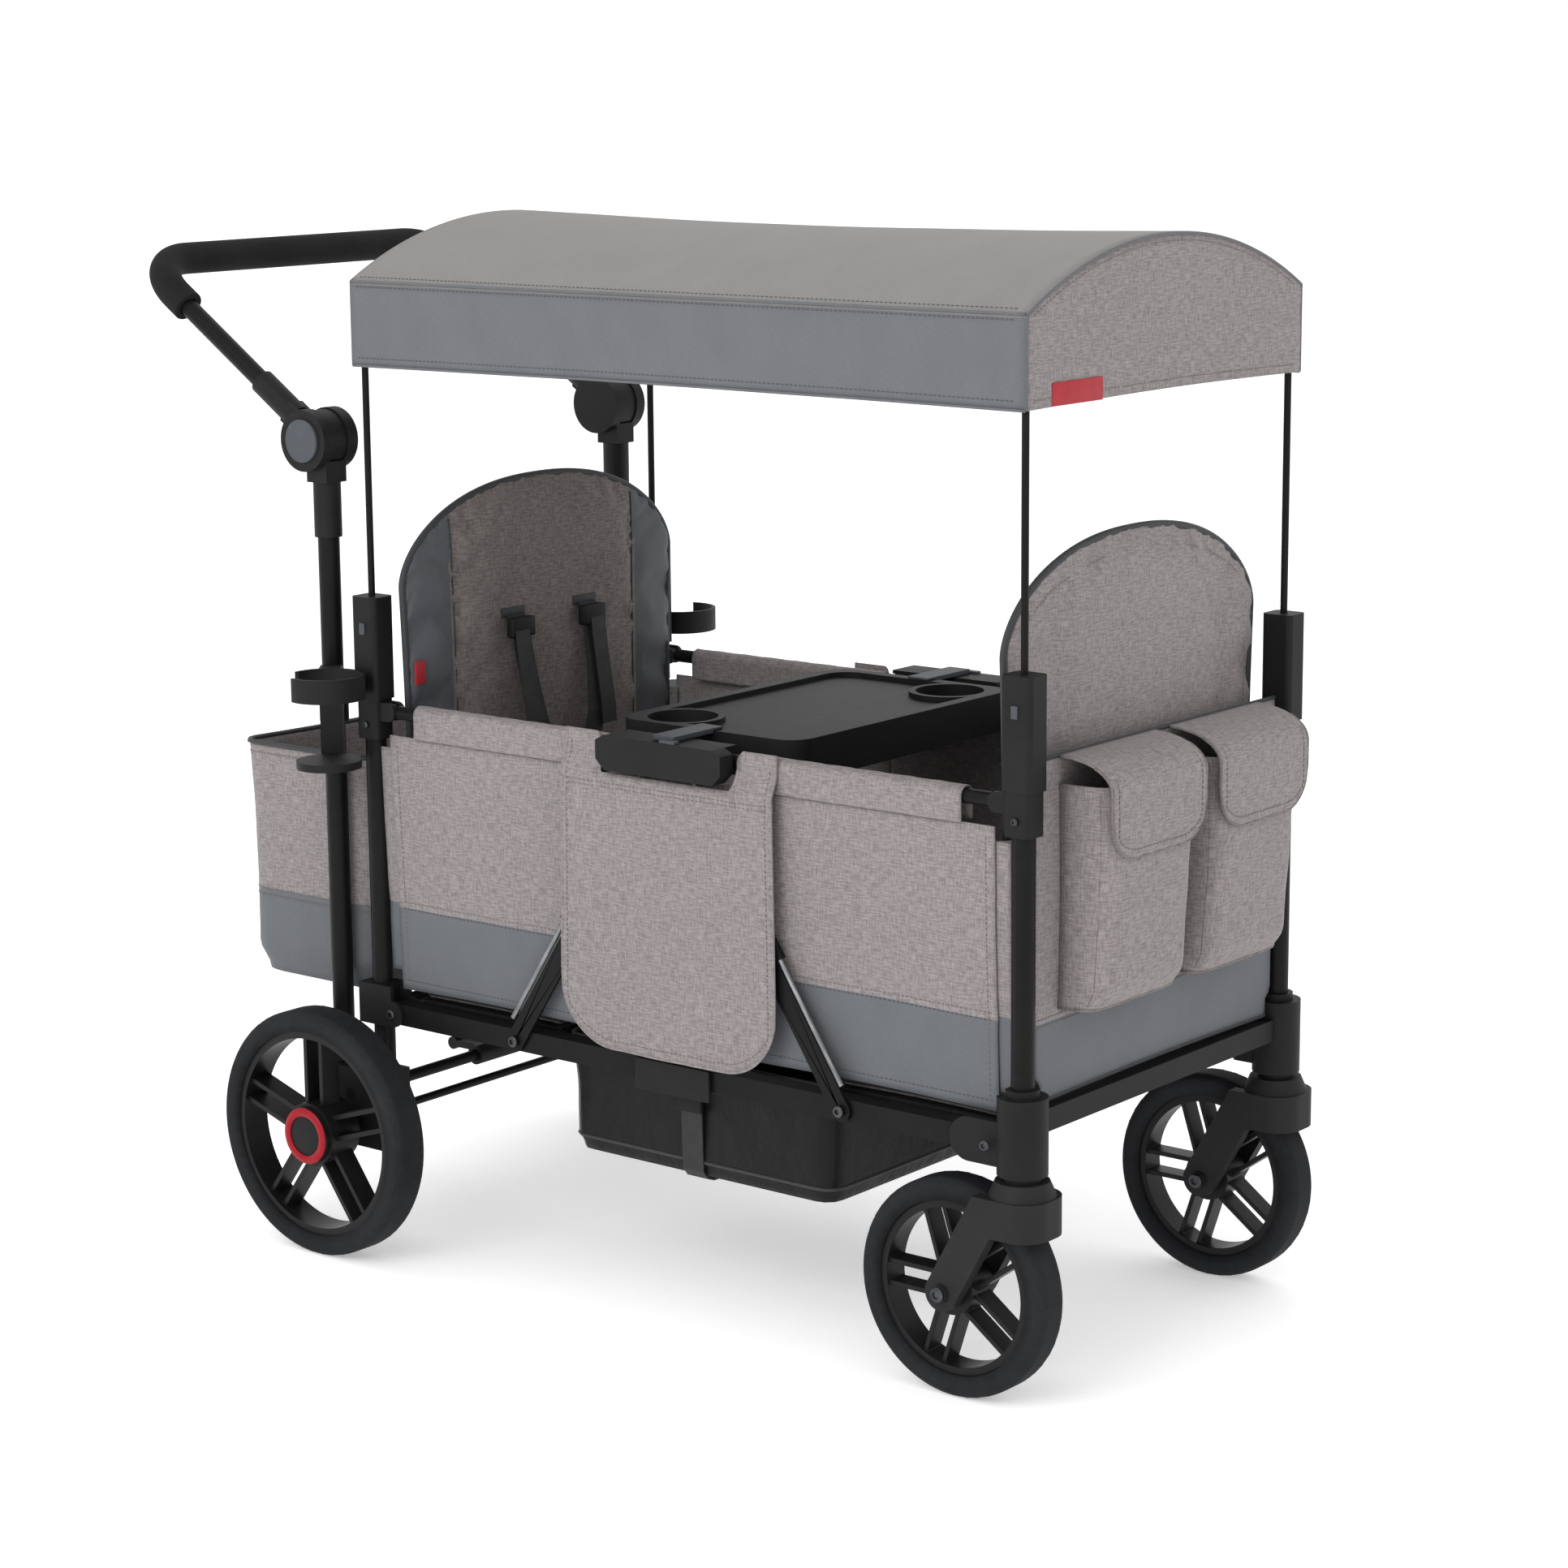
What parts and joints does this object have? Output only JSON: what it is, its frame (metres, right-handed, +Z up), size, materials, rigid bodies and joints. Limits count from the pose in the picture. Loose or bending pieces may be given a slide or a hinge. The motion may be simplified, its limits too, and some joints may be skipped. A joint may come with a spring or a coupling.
{
  "type": "stroller wagon",
  "caption": "Stroller wagon with facing seats, arched canopy, push handle, large rear wheels, swivel front casters, snack tray and a frame that folds end to end.",
  "frame": {"origin": "middle of the wagon's footprint, on the floor", "axes": "+X from the handle end to the caster end, +Y to the wagon's left, +Z up"},
  "size_m": [1.376, 0.7226, 1.214],
  "materials": {
    "powder_black": "satin powder coat",
    "plastic_black": "matt moulded",
    "tyre_black": "treaded",
    "grip_foam": "soft foam",
    "cap_grey": "satin",
    "heather": "melange weave",
    "satin_grey": "smooth weave",
    "nylon_black": "coarse nylon",
    "rod_steel": "bright"
  },
  "bodies": {
    "rear_frame": {"rear_posts": "powder_black", "rear_brackets": "plastic_black", "axle_carriers": "plastic_black", "rear_axle": "rod_steel", "handle_posts": "powder_black", "handle_knuckles": "plastic_black", "rear_rod_sockets": "plastic_black", "cup_holders": "plastic_black", "rear_basket": "heather", "rear_seat_back": "heather"},
    "brake": {"brake_pedal": "plastic_black"},
    "rear_wheel_left": {"rear_tyre_left": "tyre_black", "rear_rim_left": "plastic_black"},
    "rear_wheel_right": {"rear_tyre_right": "tyre_black", "rear_rim_right": "plastic_black"},
    "handle": {"handle_arms": "plastic_black", "handle_bar": "powder_black", "handle_grip": "grip_foam"},
    "knuckle_button_left": {"knuckle_button_left": "cap_grey"},
    "knuckle_button_right": {"knuckle_button_right": "cap_grey"},
    "lower_rear": {"lower_rails_rear": "powder_black", "floor_board_rear": "plastic_black", "rear_seat_pad": "heather"},
    "floor_centre": {"floor_link": "plastic_black", "footwell": "nylon_black"},
    "lower_front": {"lower_rails_front": "powder_black", "floor_board_front": "plastic_black", "front_seat_pad": "heather"},
    "front_frame": {"front_posts": "powder_black", "front_brackets": "plastic_black", "front_rod_sockets": "plastic_black", "front_panel": "heather", "front_pockets": "heather", "front_seat_back": "heather"},
    "upper_rear": {"upper_rails_rear": "powder_black", "side_panels_rear": "heather"},
    "centre_lock": {"lock_housings": "plastic_black", "side_aprons": "heather"},
    "lock_buttons": {"lock_buttons": "cap_grey"},
    "upper_front": {"upper_rails_front": "powder_black", "side_panels_front": "heather"},
    "strut_rear": {"struts_rear": "powder_black"},
    "strut_rod_rear": {"strut_rods_rear": "rod_steel"},
    "strut_front": {"struts_front": "powder_black"},
    "strut_rod_front": {"strut_rods_front": "rod_steel"},
    "caster_left": {"fork_left": "plastic_black"},
    "caster_right": {"fork_right": "plastic_black"},
    "front_wheel_left": {"front_tyre_left": "tyre_black", "front_rim_left": "plastic_black"},
    "front_wheel_right": {"front_tyre_right": "tyre_black", "front_rim_right": "plastic_black"},
    "canopy_rear": {"canopy_bow_rear": "powder_black", "canopy_cover": "satin_grey"},
    "canopy_front": {"canopy_bow_front": "powder_black"},
    "rod_button_rear_left": {"rod_button_rear_left": "cap_grey"},
    "rod_button_rear_right": {"rod_button_rear_right": "cap_grey"},
    "rod_button_front_left": {"rod_button_front_left": "cap_grey"},
    "rod_button_front_right": {"rod_button_front_right": "cap_grey"},
    "tray": {"tray": "plastic_black", "tray_clips": "cap_grey"}
  },
  "joints": [
    {"name": "fold", "type": "hinge", "parent": "rear_frame", "child": "lower_rear", "pos_m": [-0.277, 0, 0.288], "axis": [0, -1, 0], "range_deg": [0, 68], "deforming": ["side_panels_rear", "side_panels_front", "side_aprons", "footwell", "rear_seat_pad", "front_seat_pad", "canopy_cover"]},
    {"name": "floor_rear_pivot", "type": "hinge", "parent": "lower_rear", "child": "floor_centre", "pos_m": [0.12013, 0, 0.288], "axis": [0, -1, 0], "range_deg": [-68, 0]},
    {"name": "floor_front_pivot", "type": "hinge", "parent": "floor_centre", "child": "lower_front", "pos_m": [0.19213, 0, 0.288], "axis": [0, -1, 0], "range_deg": [-68, 0]},
    {"name": "front_frame_pivot", "type": "hinge", "parent": "lower_front", "child": "front_frame", "pos_m": [0.58927, 0, 0.288], "axis": [0, -1, 0], "range_deg": [0, 68]},
    {"name": "upper_rear_pivot", "type": "hinge", "parent": "rear_frame", "child": "upper_rear", "pos_m": [-0.277, 0, 0.648], "axis": [0, -1, 0], "range_deg": [0, 68]},
    {"name": "lock_rear_pivot", "type": "hinge", "parent": "upper_rear", "child": "centre_lock", "pos_m": [0.12013, 0, 0.648], "axis": [0, -1, 0], "range_deg": [-68, 0]},
    {"name": "lock_front_pivot", "type": "hinge", "parent": "centre_lock", "child": "upper_front", "pos_m": [0.19213, 0, 0.648], "axis": [0, -1, 0], "range_deg": [-68, 0]},
    {"name": "strut_rear_pivot", "type": "hinge", "parent": "lower_rear", "child": "strut_rear", "pos_m": [-0.07987, 0, 0.288], "axis": [0, -1, 0], "range_deg": [-50, 0]},
    {"name": "strut_rear_reach", "type": "slide", "parent": "strut_rear", "child": "strut_rod_rear", "axis": [0.5488, 0, 0.8359], "range_m": [0, 0.135]},
    {"name": "strut_front_pivot", "type": "hinge", "parent": "lower_front", "child": "strut_front", "pos_m": [0.39213, 0, 0.288], "axis": [0, -1, 0], "range_deg": [0, 50]},
    {"name": "strut_front_reach", "type": "slide", "parent": "strut_front", "child": "strut_rod_front", "axis": [-0.5488, 0, 0.8359], "range_m": [0, 0.135]},
    {"name": "lock_release", "type": "slide", "parent": "centre_lock", "child": "lock_buttons", "axis": [0, 0, -1], "range_m": [0, 0.0025], "stiffness_N_per_m": 500},
    {"name": "tray_lift", "type": "slide", "parent": "centre_lock", "child": "tray", "axis": [0, 0, 1], "range_m": [0, 0.15]},
    {"name": "handle_pivot", "type": "hinge", "parent": "rear_frame", "child": "handle", "pos_m": [-0.37887, 0, 0.96], "axis": [0, 1, 0], "range_deg": [-90, 55]},
    {"name": "brake_pivot", "type": "hinge", "parent": "rear_frame", "child": "brake", "pos_m": [-0.34087, 0, 0.182], "axis": [0, 1, 0], "range_deg": [0, 18]},
    {"name": "canopy_height", "type": "slide", "parent": "rear_frame", "child": "canopy_rear", "axis": [0, 0, 1], "range_m": [-0.1, 0]},
    {"name": "canopy_front_height", "type": "slide", "parent": "front_frame", "child": "canopy_front", "axis": [0, 0, 1], "range_m": [-0.1, 0]},
    {"name": "rear_wheel_left_spin", "type": "hinge", "parent": "rear_frame", "child": "rear_wheel_left", "pos_m": [-0.34087, 0.25, 0.148], "axis": [0, 1, 0], "continuous": true},
    {"name": "caster_left_swivel", "type": "hinge", "parent": "front_frame", "child": "caster_left", "pos_m": [0.61813, 0.25, 0.12], "axis": [0, 0, 1], "continuous": true},
    {"name": "front_wheel_left_spin", "type": "hinge", "parent": "caster_left", "child": "front_wheel_left", "pos_m": [0.54013, 0.25, 0.12], "axis": [0, 1, 0], "continuous": true},
    {"name": "knuckle_button_left_press", "type": "slide", "parent": "rear_frame", "child": "knuckle_button_left", "axis": [0, -1, 0], "range_m": [0, 0.003], "stiffness_N_per_m": 600},
    {"name": "rod_button_rear_left_press", "type": "slide", "parent": "rear_frame", "child": "rod_button_rear_left", "axis": [0, -1, 0], "range_m": [0, 0.003], "stiffness_N_per_m": 400},
    {"name": "rod_button_front_left_press", "type": "slide", "parent": "front_frame", "child": "rod_button_front_left", "axis": [0, -1, 0], "range_m": [0, 0.003], "stiffness_N_per_m": 400},
    {"name": "rear_wheel_right_spin", "type": "hinge", "parent": "rear_frame", "child": "rear_wheel_right", "pos_m": [-0.34087, -0.25, 0.148], "axis": [0, 1, 0], "continuous": true},
    {"name": "caster_right_swivel", "type": "hinge", "parent": "front_frame", "child": "caster_right", "pos_m": [0.61813, -0.25, 0.12], "axis": [0, 0, 1], "continuous": true},
    {"name": "front_wheel_right_spin", "type": "hinge", "parent": "caster_right", "child": "front_wheel_right", "pos_m": [0.54013, -0.25, 0.12], "axis": [0, 1, 0], "continuous": true},
    {"name": "knuckle_button_right_press", "type": "slide", "parent": "rear_frame", "child": "knuckle_button_right", "axis": [0, 1, 0], "range_m": [0, 0.003], "stiffness_N_per_m": 600},
    {"name": "rod_button_rear_right_press", "type": "slide", "parent": "rear_frame", "child": "rod_button_rear_right", "axis": [0, 1, 0], "range_m": [0, 0.003], "stiffness_N_per_m": 400},
    {"name": "rod_button_front_right_press", "type": "slide", "parent": "front_frame", "child": "rod_button_front_right", "axis": [0, 1, 0], "range_m": [0, 0.003], "stiffness_N_per_m": 400}
  ],
  "couplings": [
    {"joint": "floor_rear_pivot", "follows": "fold", "ratio": -1},
    {"joint": "floor_front_pivot", "follows": "fold", "ratio": -1},
    {"joint": "front_frame_pivot", "follows": "fold", "ratio": 1},
    {"joint": "upper_rear_pivot", "follows": "fold", "ratio": 1},
    {"joint": "lock_rear_pivot", "follows": "fold", "ratio": -1},
    {"joint": "lock_front_pivot", "follows": "fold", "ratio": -1},
    {"joint": "strut_rear_pivot", "follows": "fold", "ratio": -0.65789},
    {"joint": "strut_rear_reach", "follows": "fold", "m_per_rad": 0.10856},
    {"joint": "strut_front_pivot", "follows": "fold", "ratio": 0.65789},
    {"joint": "strut_front_reach", "follows": "fold", "m_per_rad": 0.10856},
    {"joint": "canopy_front_height", "follows": "canopy_height", "ratio": 1}
  ]
}
